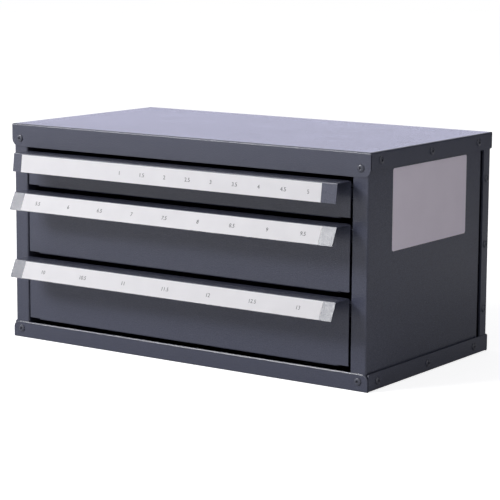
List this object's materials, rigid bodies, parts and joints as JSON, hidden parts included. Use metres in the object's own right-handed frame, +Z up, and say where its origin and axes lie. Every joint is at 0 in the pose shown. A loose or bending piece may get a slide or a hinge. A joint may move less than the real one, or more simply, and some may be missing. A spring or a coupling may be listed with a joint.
{
  "type": "drill bit dispenser cabinet",
  "caption": "Folded sheet-steel drill bit cabinet with riveted carcass and sliding drawers, each with a full-width tilted handle lip, a curved scoop and divided cells.",
  "frame": {"origin": "centre of the base tray's underside, on the surface that the cabinet stands on", "axes": "+X to the right along the drawer fronts, +Y from the front to the back, +Z up"},
  "size_m": [0.3722, 0.2267, 0.1915],
  "materials": {
    "powder_coat": "satin powder coat with a fine orange-peel texture, dark blue-grey",
    "rivet_dark": "satin dark grey blind rivets",
    "label_white": "matt white film",
    "sticker_grey": "semi-matt pale silver-grey film"
  },
  "bodies": {
    "cabinet": {"top_lid": "powder_coat", "base_tray": "powder_coat", "left_side_panel": "powder_coat", "right_side_panel": "powder_coat", "back_panel": "powder_coat", "left_rear_upright": "powder_coat", "right_rear_upright": "powder_coat", "lid_rivets": "rivet_dark", "base_rivets": "rivet_dark", "back_rivets": "rivet_dark", "runner_rivets": "rivet_dark", "side_sticker": "sticker_grey", "upper_left_runner": "powder_coat", "upper_right_runner": "powder_coat", "middle_left_runner": "powder_coat", "middle_right_runner": "powder_coat", "lower_left_runner": "powder_coat", "lower_right_runner": "powder_coat"},
    "upper_drawer": {"upper_drawer_pan": "powder_coat", "upper_drawer_left_side": "powder_coat", "upper_drawer_right_side": "powder_coat", "upper_drawer_scoop": "powder_coat", "upper_drawer_dividers": "powder_coat", "upper_drawer_label": "label_white"},
    "middle_drawer": {"middle_drawer_pan": "powder_coat", "middle_drawer_left_side": "powder_coat", "middle_drawer_right_side": "powder_coat", "middle_drawer_scoop": "powder_coat", "middle_drawer_dividers": "powder_coat", "middle_drawer_label": "label_white"},
    "lower_drawer": {"lower_drawer_pan": "powder_coat", "lower_drawer_left_side": "powder_coat", "lower_drawer_right_side": "powder_coat", "lower_drawer_scoop": "powder_coat", "lower_drawer_dividers": "powder_coat", "lower_drawer_label": "label_white"}
  },
  "joints": [
    {"name": "upper_drawer_slide", "type": "slide", "parent": "cabinet", "child": "upper_drawer", "axis": [0, -1, 0], "range_m": [0, 0.13]},
    {"name": "middle_drawer_slide", "type": "slide", "parent": "cabinet", "child": "middle_drawer", "axis": [0, -1, 0], "range_m": [0, 0.13]},
    {"name": "lower_drawer_slide", "type": "slide", "parent": "cabinet", "child": "lower_drawer", "axis": [0, -1, 0], "range_m": [0, 0.13]}
  ]
}
